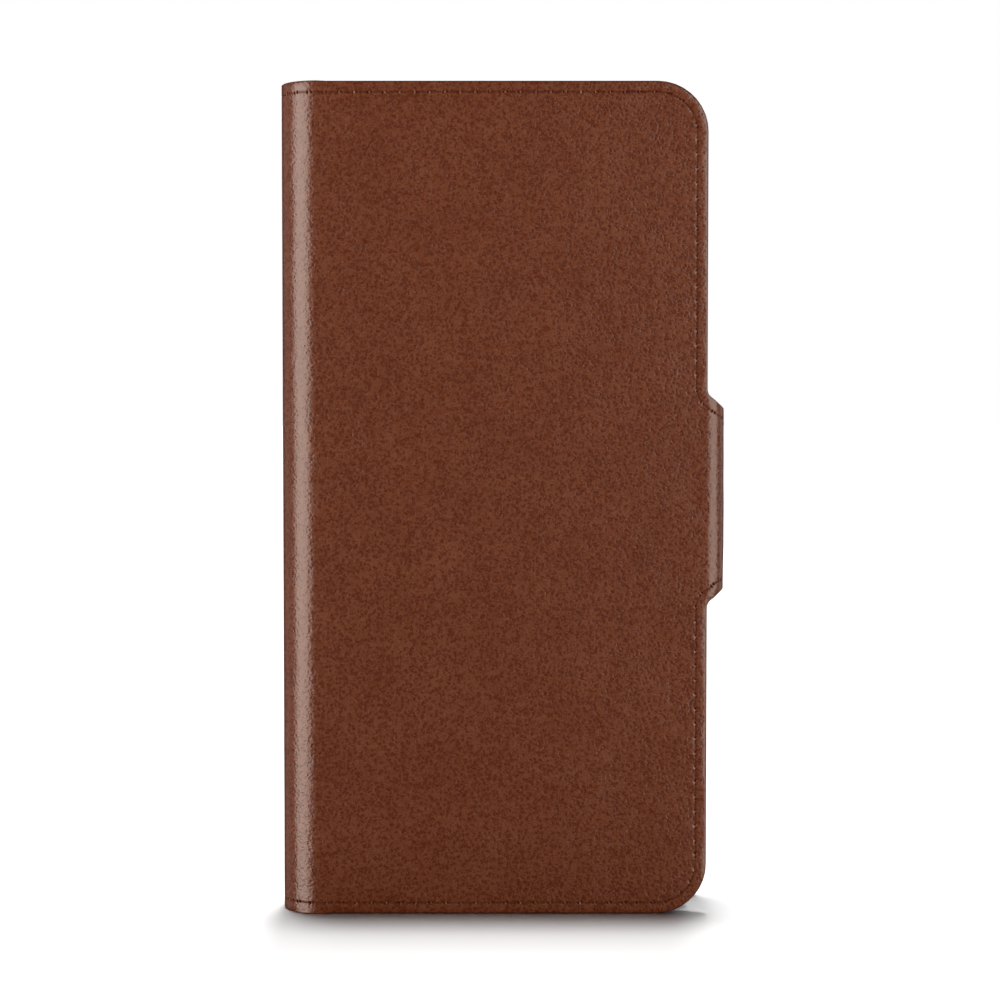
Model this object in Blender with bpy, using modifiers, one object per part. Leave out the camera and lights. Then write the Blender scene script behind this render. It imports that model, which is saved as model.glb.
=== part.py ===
"""Booklet wallet case for a phone, closed and standing on its lower edges.

One sheet of leather wraps the case: back cover, rounded spine, front cover, and a closing tab that
runs off the front cover's free edge, round the side and on to the back, where two magnets hold it.
The front cover carries a note pocket and three card pockets; the back cover carries the phone tray.

Sizes are in millimetres, and are turned into metres where a mesh or a curve is made. Shapes are laid
out in the plan frame: X from the outermost line of the spine towards the free edge, Y from the
middle of the closed case towards the back, Z up from the lower edges. The root body's empty places
that frame so that the object's origin is the centre of the bottom of its bounding box.
"""

import math

import bmesh
import bpy
from mathutils import Matrix, Vector

MM = 0.001

# Case
HEIGHT = 166.4
COVER_WIDTH = 85.4
CLOSED_DEPTH = 18.0
FRONT = -CLOSED_DEPTH / 2
BACK = CLOSED_DEPTH / 2
CORNER_RADIUS = 10.2
SPINE_RADIUS = 7.5

# Layers, as depths below the leather's outer face
GLUE = 0.1
LEATHER = 0.8
LINING = 0.5
RIM_DEPTH = 2.0
RIM_WIDTH = 3.4
RIM_INSET = 0.15
BOARD = (LEATHER + GLUE, RIM_DEPTH)
BOARD_GAP = 0.2
PANEL_LINING = (RIM_DEPTH + GLUE, RIM_DEPTH + GLUE + LINING)
FOLD_LINING = (LEATHER + GLUE, LEATHER + GLUE + LINING)
LINING_INSET = 1.0
LINING_RAMP = 1.5
FOLD_GAP = 0.3

# Closing tab: a bend at the front cover's free edge, a strap along the side, a bend, and a tip
TAB_Z = 83.3
TAB_BEND_X = 85.2
TAB_RADIUS = 3.6
TAB_ROOT_HALF = 21.0
TAB_ROOT_ROUND = 2.0
TAB_SHOULDER_HALF = 19.0
STRAP_HALF = 17.9
TIP_RADIUS = 3.0
TIP_LENGTH = 22.0
TIP_HALF = 16.8
TIP_END_HALF = 15.0
TIP_CORNER = 6.0
TIP_REST_GAP = 0.3
TIP_PLATE = (LEATHER + GLUE, LEATHER + GLUE + 0.8)
TIP_LINING = (TIP_PLATE[1] + GLUE, TIP_PLATE[1] + GLUE + 0.4)
TIP_PLATE_ROUND = 2.5
TAB_LINING_INSET = 0.6
MAGNET_RADIUS = 4.5
MAGNET_SPACING = 15.0
MAGNET_FROM_END = 8.0
MAGNET_CLEARANCE = 0.3

# Seams
SEAM_INSET = 2.1
SEAM_DEPTH = 0.2
THREAD_RADIUS = 0.18
GROOVE_RADIUS = 0.38
SEAM_TURN_HALF = 20.6
SEAM_TURN_ROUND = 3.0
SEAM_TAB = (1.2, 17.5, 1.5)
SEAM_SHOULDER_HALF = 16.5

# Pockets on the front cover's inner side. Boxes are (X from, X to, Z from, Z to).
SHEET = 0.5
CAVITY = 0.3
HEM = 2.0
POCKET_CORNERS = (1.0, 3.0)
NOTE_POCKET = (11.0, 82.4, 4.0, HEIGHT - 4.0)
CARD_POCKET_Z = (TAB_Z - 46.0, TAB_Z + 46.0)
CARD_POCKET_END = 80.4
CARD_POCKET_MOUTHS = {"rear": 20.0, "middle": 30.0, "front": 40.0}
POCKET_SEAM_INSET = 1.0
POCKET_SEAM_ROUND = 2.0

# Phone tray
TRAY_X = (5.4, 82.2)
TRAY_Y = (-2.5, 5.9)
TRAY_Z = (3.0, HEIGHT - 3.0)
TRAY_WALL = 1.3
TRAY_FLOOR = 1.2
TRAY_RADIUS = 9.5
TRAY_EDGE_ROUND = 1.2
LIP = 0.5
LIP_DEPTH = 0.8
NOTCH_FLOOR = 2.4
NOTCH_ROUND = 1.5
PORT_NOTCH = (19.3, 65.3)
TOP_NOTCH = (22.0, 38.0)
BUTTON_NOTCH = (108.0, 142.0)
CAMERA_WINDOW = (54.5, 78.5, 124.5, 158.5)
CAMERA_RADIUS = 5.0
ADHESIVE = (16.0, 72.0, 14.0, 118.0)
ADHESIVE_THICKNESS = 0.3
ADHESIVE_ROUND = 4.0

# Steel plate in the back board that the magnets pull to, and the room round it and round the window
KEEPER_SIZE = (12.0, 30.0)
KEEPER_DEPTHS = (1.2, 1.8)
KEEPER_ROUND = 1.5
KEEPER_ROOM = 0.5
WINDOW_ROOM = 1.5

# How far a cutter or an untrimmed blank runs past what it meets, and the steps round an arc
PAST = 4.0
FOLD_STEPS = 8
CORNER_STEPS = 6
SHARP_ANGLE = math.radians(35)
QUARTER = math.pi / 2

# Plain finishes: colour, roughness, metallic
FINISHES = {
    "leather": ((0.127, 0.036, 0.017), 0.5, 0.0),
    "pocket_leather": ((0.11, 0.032, 0.016), 0.55, 0.0),
    "lining": ((0.07, 0.026, 0.015), 0.95, 0.0),
    "board": ((0.35, 0.3, 0.24), 0.9, 0.0),
    "thread": ((0.16, 0.055, 0.028), 0.7, 0.0),
    "tray_plastic": ((0.018, 0.016, 0.015), 0.45, 0.0),
    "adhesive": ((0.6, 0.6, 0.58), 0.6, 0.0),
    "steel": ((0.55, 0.55, 0.56), 0.35, 1.0),
    "magnet": ((0.45, 0.45, 0.47), 0.25, 1.0),
    "stiffener": ((0.03, 0.03, 0.03), 0.6, 0.0),
}


# The girth: the leather's outer line in plan, from the back cover's free edge to the tab's end ----

TIP_FACE = BACK + TIP_REST_GAP + TIP_LINING[1]
TAB_OUT_X = TAB_BEND_X + TAB_RADIUS
STRAP_LENGTH = TIP_FACE - TIP_RADIUS - (FRONT + TAB_RADIUS)

# Each stretch is (length, radius). A bend has a radius and turns left by a quarter, so the inside of
# the case is always on the left.
STRETCHES = {
    "back_panel": (COVER_WIDTH - SPINE_RADIUS, 0.0),
    "back_fold": (QUARTER * SPINE_RADIUS, SPINE_RADIUS),
    "spine": (CLOSED_DEPTH - 2 * SPINE_RADIUS, 0.0),
    "front_fold": (QUARTER * SPINE_RADIUS, SPINE_RADIUS),
    "front_panel": (TAB_BEND_X - SPINE_RADIUS, 0.0),
    "tab_bend": (QUARTER * TAB_RADIUS, TAB_RADIUS),
    "strap": (STRAP_LENGTH, 0.0),
    "tip_bend": (QUARTER * TIP_RADIUS, TIP_RADIUS),
    "tip": (TIP_LENGTH, 0.0),
}


def girth_starts():
    """How far along the girth each stretch starts, and where the last one ends."""
    starts, total = {}, 0.0
    for name, (length, _) in STRETCHES.items():
        starts[name] = total
        total += length
    starts["end"] = total
    return starts


START = girth_starts()


def middle_of(name):
    """How far along the girth a stretch's middle is."""
    return START[name] + STRETCHES[name][0] / 2


def on_girth(along, depth):
    """The plan point that far along the girth and that deep below the leather's outer face."""
    point, heading = Vector((COVER_WIDTH, BACK)), Vector((-1.0, 0.0))
    for name, (length, radius) in STRETCHES.items():
        inward = Vector((-heading.y, heading.x))
        left = along - START[name]
        if left <= length or name == "tip":
            if not radius:
                return point + heading * left + inward * depth
            turn = left / radius
            outward = heading * math.sin(turn) - inward * math.cos(turn)
            return point + inward * radius + outward * (radius - depth)
        if radius:
            point = point + (inward + heading) * radius
            heading = inward
        else:
            point = point + heading * length
    return point


def bend_pivot(name):
    """The plan point a bend turns about, where unbending it leaves its outer face as long as before."""
    radius = STRETCHES[name][1]
    middle = on_girth(middle_of(name), 0.0)
    centre = on_girth(middle_of(name), radius)
    return centre + (middle - centre).normalized() * radius * math.pi / 4 * math.sqrt(2)


def stations(first, last, extra=()):
    """Places along the girth from first to last: stretch ends, steps round each bend, and extras."""
    found = {first, last, *(at for at in extra if first < at < last)}
    for name, (length, radius) in STRETCHES.items():
        steps = FOLD_STEPS if radius else 1
        for step in range(steps + 1):
            at = START[name] + length * step / steps
            if first < at < last:
                found.add(at)
    return sorted(found)


def front_along(x):
    """How far along the girth a point of the front cover's flat is."""
    return START["front_panel"] + x - SPINE_RADIUS


def back_along(x):
    """How far along the girth a point of the back cover's flat is."""
    return COVER_WIDTH - x


# Bodies: each turns from its parent about a fold's pivot in the plan ----------------------------

BODIES = {
    "back_cover": (None, Vector((0.0, 0.0))),
    "spine": ("back_cover", bend_pivot("back_fold")),
    "front_cover": ("spine", bend_pivot("front_fold")),
    "tab_strap": ("front_cover", bend_pivot("tab_bend")),
    "tab_tip": ("tab_strap", bend_pivot("tip_bend")),
}
ORIGIN = Vector((TAB_OUT_X / 2, (FRONT + TIP_FACE) / 2))


def make_body_empties(collection):
    """One empty on each fold's axis, chained as the bodies are."""
    empties = {}
    for body, (parent, pivot) in BODIES.items():
        empty = bpy.data.objects.new("body_" + body, None)
        empty.empty_display_size = 10 * MM
        collection.objects.link(empty)
        if parent:
            empty.parent = empties[parent]
        before = BODIES[parent][1] if parent else ORIGIN
        empty.location = ((pivot - before) * MM).to_3d()
        empties[body] = empty
    return empties


# Outlines -----------------------------------------------------------------------------------------


def rounded(corners):
    """Points of an outline through corners (u, v, radius), with an arc where a corner has a radius."""
    points = []
    for index, (u, v, radius) in enumerate(corners):
        here = Vector((u, v))
        if not radius:
            points.append(here)
            continue
        before = (Vector(corners[index - 1][:2]) - here).normalized()
        after = (Vector(corners[(index + 1) % len(corners)][:2]) - here).normalized()
        half = before.angle(after) / 2
        centre = here + (before + after).normalized() * radius / math.sin(half)
        first = here + before * radius / math.tan(half) - centre
        turn = math.copysign(math.pi - 2 * half, -before.cross(after))
        for step in range(CORNER_STEPS + 1):
            points.append(centre + Matrix.Rotation(turn * step / CORNER_STEPS, 2) @ first)
    return points


def rectangle(u0, u1, v0, v1, radius=0.0):
    return rounded([(u0, v0, radius), (u1, v0, radius), (u1, v1, radius), (u0, v1, radius)])


def around(x, z, half_x, half_z, radius):
    return rectangle(x - half_x, x + half_x, z - half_z, z + half_z, radius)


def grown(box, by):
    u0, u1, v0, v1 = box
    return u0 - by, u1 + by, v0 - by, v1 + by


def cover_outline(inset, tab=False):
    """A cover in X and Z, running on past the spine, and on past the middle of the tab's bend."""
    edge, radius = COVER_WIDTH - inset, CORNER_RADIUS - inset
    corners = [(-PAST, inset, 0.0), (edge, inset, radius)]
    if tab:
        bend = on_girth(middle_of("tab_bend"), 0.0).x
        corners += [
            (edge, TAB_Z - TAB_ROOT_HALF, TAB_ROOT_ROUND),
            (bend, TAB_Z - TAB_SHOULDER_HALF, 0.0),
            (bend + PAST, TAB_Z - TAB_SHOULDER_HALF, 0.0),
            (bend + PAST, TAB_Z + TAB_SHOULDER_HALF, 0.0),
            (bend, TAB_Z + TAB_SHOULDER_HALF, 0.0),
            (edge, TAB_Z + TAB_ROOT_HALF, TAB_ROOT_ROUND),
        ]
    corners += [(edge, HEIGHT - inset, radius), (-PAST, HEIGHT - inset, 0.0)]
    return rounded(corners)


def rim_outline():
    """The turned edge in X and Z: a band round the bottom, the free edge and the top of a cover."""
    start = SPINE_RADIUS + LINING_RAMP + BOARD_GAP
    outer, inner = [
        [
            (start, inset, 0.0),
            (COVER_WIDTH - inset, inset, CORNER_RADIUS - inset),
            (COVER_WIDTH - inset, HEIGHT - inset, CORNER_RADIUS - inset),
            (start, HEIGHT - inset, 0.0),
        ]
        for inset in (RIM_INSET, RIM_WIDTH)
    ]
    return rounded(outer + inner[::-1])


def strap_outline(inset):
    """The tab along the side of the case, in Y and Z: a shoulder at the bend, then a slow taper."""
    halves = [
        (FRONT, TAB_SHOULDER_HALF),
        (on_girth(middle_of("tab_bend"), 0.0).y, TAB_SHOULDER_HALF),
        (FRONT + TAB_RADIUS, STRAP_HALF),
        (TIP_FACE, TIP_HALF),
    ]
    lower = [(y, TAB_Z - half + inset) for y, half in halves]
    return lower + [(y, TAB_Z + half - inset) for y, half in reversed(halves)]


def tip_outline(inset):
    """The tab's tip in X and Z, from the side of the case to its rounded end."""
    end = on_girth(START["end"], 0.0).x
    return rounded([
        (TAB_OUT_X, TAB_Z - TIP_HALF + inset, 0.0),
        (TAB_OUT_X, TAB_Z + TIP_HALF - inset, 0.0),
        (end + inset, TAB_Z + TIP_END_HALF - inset, TIP_CORNER - inset),
        (end + inset, TAB_Z - TIP_END_HALF + inset, TIP_CORNER - inset),
    ])


def layer_outline(first, last, outer, inner, extra=()):
    """The plan outline of a layer along the girth. Its depths are functions of the place along it."""
    places = stations(first, last, extra)
    points = [on_girth(at, outer(at)) for at in places]
    return points + [on_girth(at, inner(at)) for at in reversed(places)]


def flat_layer(first, last, depths):
    outer, inner = depths
    return layer_outline(first, last, lambda _: outer, lambda _: inner)


def lining_depth(side):
    """A cover lining's depth along the girth: below the board on the flat, up on the leather in a fold."""
    def depth(along):
        to_fold = max(START["back_fold"] - along, along - START["front_panel"], 0.0)
        share = min(to_fold / LINING_RAMP, 1.0)
        return FOLD_LINING[side] * (1 - share) + PANEL_LINING[side] * share

    return depth


def seam_path(corners, depth):
    """3D points of a line drawn on the sheet through corners given as (along the girth, Z)."""
    points = []
    for (s0, z0), (s1, z1) in zip(corners, corners[1:]):
        places = stations(min(s0, s1), max(s0, s1))
        for at in places if s1 >= s0 else reversed(places):
            share = (at - s0) / (s1 - s0) if s1 != s0 else 1.0
            point = Vector((*on_girth(at, depth), z0 + (z1 - z0) * share))
            if not points or (point - points[-1]).length > THREAD_RADIUS:
                points.append(point)
    return points


# Meshes and curves --------------------------------------------------------------------------------

AXES = {"X": Vector((1, 0, 0)), "Y": Vector((0, 1, 0)), "Z": Vector((0, 0, 1))}
# Each turns a flat outline, drawn in X and Y, so that it faces along the named axis
TURNS = {
    "X": Matrix(((0, 0, 1, 0), (1, 0, 0, 0), (0, 1, 0, 0), (0, 0, 0, 1))),
    "Y": Matrix(((1, 0, 0, 0), (0, 0, -1, 0), (0, 1, 0, 0), (0, 0, 0, 1))),
    "Z": Matrix.Identity(4),
}


def new_collection(name):
    collection = bpy.data.collections.new(name)
    bpy.context.scene.collection.children.link(collection)
    return collection


def smooth(mesh):
    mesh.shade_smooth()
    mesh.set_sharp_from_angle(angle=SHARP_ANGLE)
    return mesh


def mesh_from_curve(curve, matrix):
    """A closed mesh from a curve: its caps are welded and its faces point out."""
    holder = bpy.data.objects.new("curve", curve)
    bpy.context.scene.collection.objects.link(holder)
    graph = bpy.context.evaluated_depsgraph_get()
    mesh = bpy.data.meshes.new_from_object(holder.evaluated_get(graph))
    bpy.data.objects.remove(holder)
    work = bmesh.new()
    work.from_mesh(mesh)
    bmesh.ops.remove_doubles(work, verts=work.verts, dist=0.002 * MM)
    bmesh.ops.transform(work, matrix=matrix, verts=work.verts)
    bmesh.ops.recalc_face_normals(work, faces=work.faces)
    work.to_mesh(mesh)
    work.free()
    return smooth(mesh)


def prism(outline, low, high, along):
    """An outline made solid from low to high. It is in (y, z), (x, z) or (x, y) for X, Y or Z."""
    curve = bpy.data.curves.new("outline", "CURVE")
    curve.dimensions = "2D"
    curve.fill_mode = "BOTH"
    curve.extrude = abs(high - low) / 2 * MM
    spline = curve.splines.new("POLY")
    spline.points.add(len(outline) - 1)
    for point, corner in zip(spline.points, outline):
        point.co = (corner[0] * MM, corner[1] * MM, 0, 1)
    spline.use_cyclic_u = True
    place = Matrix.Translation(AXES[along] * (low + high) / 2 * MM)
    return mesh_from_curve(curve, place @ TURNS[along])


def tube(points, radius):
    """An open curve through points, with a round section and closed ends."""
    curve = bpy.data.curves.new("tube", "CURVE")
    curve.dimensions = "3D"
    curve.bevel_depth = radius * MM
    curve.bevel_resolution = 2
    curve.use_fill_caps = True
    spline = curve.splines.new("POLY")
    spline.points.add(len(points) - 1)
    for point, place in zip(spline.points, points):
        point.co = (*(place * MM), 1)
    spline.use_smooth = True
    return curve


def groove(points):
    """What cuts a seam's groove: a fatter tube that starts before and ends after the thread."""
    start = points[0] + (points[0] - points[1]).normalized() * PAST
    end = points[-1] + (points[-1] - points[-2]).normalized() * PAST
    return mesh_from_curve(tube([start, *points, end], GROOVE_RADIUS), Matrix.Identity(4))


def disc(x, z, radius, low, high):
    """A disc whose axis runs along Y."""
    work = bmesh.new()
    place = Matrix.Translation(Vector((x, (low + high) / 2, z)) * MM) @ TURNS["Y"]
    bmesh.ops.create_cone(
        work, cap_ends=True, segments=32, radius1=radius * MM, radius2=radius * MM,
        depth=(high - low) * MM, matrix=place,
    )
    mesh = bpy.data.meshes.new("disc")
    work.to_mesh(mesh)
    work.free()
    return smooth(mesh)


class Builder:
    """Makes named pieces in the plan frame, each under the empty of the body it moves with."""

    def __init__(self):
        self.parts = new_collection("phone_wallet_case")
        self.cutters = new_collection("cutters")
        self.empties = make_body_empties(self.parts)
        self.materials = {name: self.material(name, *values) for name, values in FINISHES.items()}

    def material(self, name, colour, roughness, metallic):
        material = bpy.data.materials.new(name)
        material.use_nodes = True
        shader = material.node_tree.nodes["Principled BSDF"]
        shader.inputs["Base Color"].default_value = (*colour, 1.0)
        shader.inputs["Roughness"].default_value = roughness
        shader.inputs["Metallic"].default_value = metallic
        return material

    def attach(self, obj, body):
        obj.parent = self.empties[body]
        obj.location = (-BODIES[body][1] * MM).to_3d()

    def piece(self, name, data, body, finish):
        obj = bpy.data.objects.new(name, data)
        data.name = name
        data.materials.append(self.materials[finish])
        self.parts.objects.link(obj)
        self.attach(obj, body)
        return obj

    def combine(self, obj, operation, body, *meshes):
        """Adds one Boolean modifier for each mesh, which becomes a hidden cutter of the same body."""
        for mesh in meshes:
            cutter = bpy.data.objects.new("cutter_" + obj.name, mesh)
            cutter.hide_render = True
            cutter.display_type = "WIRE"
            self.cutters.objects.link(cutter)
            self.attach(cutter, body)
            boolean = obj.modifiers.new(operation.lower(), "BOOLEAN")
            boolean.operation = operation
            boolean.object = cutter

    def seam(self, name, points, body, leather):
        """A thread along points, lying in a groove in the leather."""
        self.piece(name, tube(points, THREAD_RADIUS), body, "thread")
        self.combine(leather, "DIFFERENCE", body, groove(points))


# Covers -------------------------------------------------------------------------------------------

# Each cover's body, its outer face's Y, and the direction from there into the case
COVERS = {"front": ("front_cover", FRONT, 1), "back": ("back_cover", BACK, -1)}
BACK_END = middle_of("back_fold") - FOLD_GAP / 2
SPINE_START = middle_of("back_fold") + FOLD_GAP / 2
SPINE_END = middle_of("front_fold") - FOLD_GAP / 2
FRONT_START = middle_of("front_fold") + FOLD_GAP / 2
FRONT_END = middle_of("tab_bend") - FOLD_GAP / 2


def cover_levels(side, shallow, deep):
    """The Y range of a layer of a cover between two depths."""
    _, face, inward = COVERS[side]
    return sorted((face + inward * shallow, face + inward * deep))


def cover_leather(build, side):
    """A cover's outer leather: the skin, half of the spine's fold, and the edge turned in round it."""
    body, tab = COVERS[side][0], side == "front"
    first, last = (FRONT_START, FRONT_END) if tab else (START["back_panel"] - PAST, BACK_END)

    def inner(along):
        """The tab's root is as thick as leather and lining together."""
        return FOLD_LINING[1] if along > START["tab_bend"] else LEATHER

    skin = prism(layer_outline(first, last, lambda _: 0.0, inner), -PAST, HEIGHT + PAST, "Z")
    leather = build.piece(side + "_cover_leather", skin, body, "leather")
    trim = prism(cover_outline(0.0, tab), *cover_levels(side, -PAST, SPINE_RADIUS + PAST), "Y")
    build.combine(leather, "INTERSECT", body, trim)
    rim = prism(rim_outline(), *cover_levels(side, LEATHER / 2, RIM_DEPTH), "Y")
    build.combine(leather, "UNION", body, rim)
    return leather


def cover_board(build, side):
    """The stiffening board between a cover's leather and lining."""
    inset = RIM_WIDTH + BOARD_GAP
    radius = CORNER_RADIUS - inset
    start, edge, top = SPINE_RADIUS + LINING_RAMP + BOARD_GAP, COVER_WIDTH - inset, HEIGHT - inset
    outline = rounded([(start, inset, 0.0), (edge, inset, radius), (edge, top, radius), (start, top, 0.0)])
    board = prism(outline, *cover_levels(side, *BOARD), "Y")
    return build.piece(side + "_cover_board", board, COVERS[side][0], "board")


def cover_lining(build, side):
    """A cover's inner lining, which comes up to the leather at the spine's fold."""
    body = COVERS[side][0]
    if side == "front":
        first, last = FRONT_START, START["tab_bend"]
    else:
        first, last = START["back_panel"], BACK_END
    ramps = (START["back_fold"] - LINING_RAMP, START["front_panel"] + LINING_RAMP)
    outline = layer_outline(first, last, lining_depth(0), lining_depth(1), ramps)
    lining = build.piece(side + "_cover_lining", prism(outline, -PAST, HEIGHT + PAST, "Z"), body, "lining")
    trim = prism(cover_outline(LINING_INSET), *cover_levels(side, -PAST, SPINE_RADIUS + PAST), "Y")
    build.combine(lining, "INTERSECT", body, trim)
    return lining


def keeper_plate(build, board):
    """The steel plate in the back board, under the magnets."""
    x = on_girth(START["end"], 0.0).x + MAGNET_FROM_END
    half_x, half_z = KEEPER_SIZE[0] / 2, KEEPER_SIZE[1] / 2
    plate = prism(
        around(x, TAB_Z, half_x, half_z, KEEPER_ROUND), *cover_levels("back", *KEEPER_DEPTHS), "Y"
    )
    build.piece("keeper_plate", plate, "back_cover", "steel")
    room = around(x, TAB_Z, half_x + KEEPER_ROOM, half_z + KEEPER_ROOM, KEEPER_ROUND + KEEPER_ROOM)
    build.combine(board, "DIFFERENCE", "back_cover", prism(room, BACK - PAST, BACK + PAST, "Y"))


def back_cover(build):
    leather = cover_leather(build, "back")
    board = cover_board(build, "back")
    lining = cover_lining(build, "back")
    window = rectangle(*CAMERA_WINDOW, CAMERA_RADIUS)
    wide = rectangle(*grown(CAMERA_WINDOW, WINDOW_ROOM), CAMERA_RADIUS + WINDOW_ROOM)
    for obj, outline in ((leather, window), (board, wide), (lining, window)):
        build.combine(obj, "DIFFERENCE", "back_cover", prism(outline, BACK - PAST, BACK + PAST, "Y"))
    keeper_plate(build, board)
    edge, radius = back_along(COVER_WIDTH - SEAM_INSET), CORNER_RADIUS - SEAM_INSET
    low, high = SEAM_INSET, HEIGHT - SEAM_INSET
    line = rounded([(BACK_END, high, 0.0), (edge, high, radius), (edge, low, radius), (BACK_END, low, 0.0)])
    build.seam("back_seam", seam_path(line, SEAM_DEPTH), "back_cover", leather)


def front_seam_line(up):
    """The seam of the front cover's upper (1) or lower (-1) half, which turns on to the tab."""
    edge = front_along(COVER_WIDTH - SEAM_INSET)
    end = HEIGHT - SEAM_INSET if up > 0 else SEAM_INSET
    on_tab, tab_half, tab_round = SEAM_TAB
    return rounded([
        (FRONT_START, end, 0.0),
        (edge, end, CORNER_RADIUS - SEAM_INSET),
        (edge, TAB_Z + up * SEAM_TURN_HALF, SEAM_TURN_ROUND),
        (START["tab_bend"] + on_tab, TAB_Z + up * tab_half, tab_round),
        (FRONT_END, TAB_Z + up * SEAM_SHOULDER_HALF, 0.0),
    ])


def front_cover(build):
    leather = cover_leather(build, "front")
    cover_board(build, "front")
    cover_lining(build, "front")
    for name, up in (("upper", 1), ("lower", -1)):
        points = seam_path(front_seam_line(up), SEAM_DEPTH)
        build.seam("front_seam_" + name, points, "front_cover", leather)


def spine(build):
    strip = prism(flat_layer(SPINE_START, SPINE_END, (0.0, LEATHER)), 0.0, HEIGHT, "Z")
    leather = build.piece("spine_leather", strip, "spine", "leather")
    low, high = LINING_INSET, HEIGHT - LINING_INSET
    strip = prism(flat_layer(SPINE_START, SPINE_END, FOLD_LINING), low, high, "Z")
    build.piece("spine_lining", strip, "spine", "lining")
    for name, z in (("upper", HEIGHT - SEAM_INSET), ("lower", SEAM_INSET)):
        points = seam_path([(SPINE_START, z), (SPINE_END, z)], SEAM_DEPTH)
        build.seam("spine_seam_" + name, points, "spine", leather)


# Pockets and tray -------------------------------------------------------------------------------


def pocket(build, name, box, base):
    """A sheet hemmed down on three sides over a thin space that opens towards the spine."""
    x0, x1, z0, z1 = box
    face = base + CAVITY + SHEET
    square, soft = POCKET_CORNERS
    outline = rounded([(x0, z0, square), (x1, z0, soft), (x1, z1, soft), (x0, z1, square)])
    sheet = build.piece(name, prism(outline, base, face, "Y"), "front_cover", "pocket_leather")
    space = rectangle(x0 - PAST, x1 - HEM, z0 + HEM, z1 - HEM)
    build.combine(sheet, "DIFFERENCE", "front_cover", prism(space, base - PAST, base + CAVITY, "Y"))
    return sheet, face


def pockets(build):
    """The note pocket and the stepped card pockets, stacked on the front lining and sewn together."""
    _, face = pocket(build, "note_pocket", NOTE_POCKET, FRONT + PANEL_LINING[1] + GLUE)
    z0, z1 = CARD_POCKET_Z
    for name, mouth in CARD_POCKET_MOUTHS.items():
        box = (mouth, CARD_POCKET_END, z0, z1)
        sheet, face = pocket(build, "card_pocket_" + name, box, face + GLUE)
    low, high, edge = z0 + POCKET_SEAM_INSET, z1 - POCKET_SEAM_INSET, CARD_POCKET_END - POCKET_SEAM_INSET
    start = mouth + 2 * THREAD_RADIUS
    line = rounded([
        (start, low, 0.0), (edge, low, POCKET_SEAM_ROUND),
        (edge, high, POCKET_SEAM_ROUND), (start, high, 0.0),
    ])
    points = [Vector((x, face - SEAM_DEPTH, z)) for x, z in line]
    build.seam("pocket_seam", points, "front_cover", sheet)


def notch(low, high, side):
    """A tray notch, open to the tray's mouth. It is in (along the wall, Y), or turned for the side wall."""
    mouth = TRAY_Y[0] - PAST
    corners = [
        (low, mouth, 0.0), (high, mouth, 0.0),
        (high, NOTCH_FLOOR, NOTCH_ROUND), (low, NOTCH_FLOOR, NOTCH_ROUND),
    ]
    return rounded([(v, u, radius) for u, v, radius in corners] if side else corners)


def phone_tray(build):
    """The moulded tray that grips the phone by its edges, and the pad that bonds it to the lining."""
    (x0, x1), (y0, y1), (z0, z1) = TRAY_X, TRAY_Y, TRAY_Z
    outside = (x0, x1, z0, z1)
    shell = prism(rectangle(*outside, TRAY_RADIUS), y0, y1, "Y")
    tray = build.piece("phone_tray", shell, "back_cover", "tray_plastic")
    bevel = tray.modifiers.new("round_edges", "BEVEL")
    bevel.width = TRAY_EDGE_ROUND * MM
    bevel.segments = 3
    bevel.limit_method = "ANGLE"
    bevel.angle_limit = QUARTER * 2 / 3

    narrow = TRAY_WALL + LIP
    inside = rectangle(*grown(outside, -TRAY_WALL), TRAY_RADIUS - TRAY_WALL)
    mouth = rectangle(*grown(outside, -narrow), TRAY_RADIUS - narrow)
    lip_end = y0 + LIP_DEPTH
    build.combine(
        tray, "DIFFERENCE", "back_cover",
        prism(notch(*BUTTON_NOTCH, side=True), x1 - PAST, x1 + PAST, "X"),
        prism(notch(*PORT_NOTCH, side=False), z0 - PAST, z0 + PAST, "Z"),
        prism(notch(*TOP_NOTCH, side=False), z1 - PAST, z1 + PAST, "Z"),
        prism(rectangle(*CAMERA_WINDOW, CAMERA_RADIUS), y1 - PAST, y1 + PAST, "Y"),
        prism(inside, lip_end, y1 - TRAY_FLOOR, "Y"),
        prism(mouth, y0 - PAST, lip_end + LIP, "Y"),
    )
    pad = prism(rectangle(*ADHESIVE, ADHESIVE_ROUND), y1 + GLUE, y1 + GLUE + ADHESIVE_THICKNESS, "Y")
    build.piece("tray_adhesive", pad, "back_cover", "adhesive")


# Closing tab --------------------------------------------------------------------------------------

STRAP_START = middle_of("tab_bend") + FOLD_GAP / 2
STRAP_END = middle_of("tip_bend") - FOLD_GAP / 2
TIP_START = middle_of("tip_bend") + FOLD_GAP / 2
TAB_BLANK = (TAB_Z - 2 * STRAP_HALF, TAB_Z + 2 * STRAP_HALF)


def tab_strap(build):
    """The tab along the side of the case, which narrows a little towards the back."""
    made = {}
    for name, depths, inset in (
        ("leather", (0.0, LEATHER), 0.0), ("lining", FOLD_LINING, TAB_LINING_INSET)
    ):
        strip = prism(flat_layer(STRAP_START, STRAP_END, depths), *TAB_BLANK, "Z")
        made[name] = build.piece("tab_strap_" + name, strip, "tab_strap", name)
        trim = prism(strap_outline(inset), TAB_BEND_X - PAST, TAB_OUT_X + PAST, "X")
        build.combine(made[name], "INTERSECT", "tab_strap", trim)
    for name, up in (("upper", 1), ("lower", -1)):
        line = [
            (STRAP_START, TAB_Z + up * SEAM_SHOULDER_HALF),
            (START["strap"], TAB_Z + up * (STRAP_HALF - SEAM_INSET)),
            (STRAP_END, TAB_Z + up * (TIP_HALF - SEAM_INSET)),
        ]
        points = seam_path(line, SEAM_DEPTH)
        build.seam("tab_strap_seam_" + name, points, "tab_strap", made["leather"])


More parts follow.
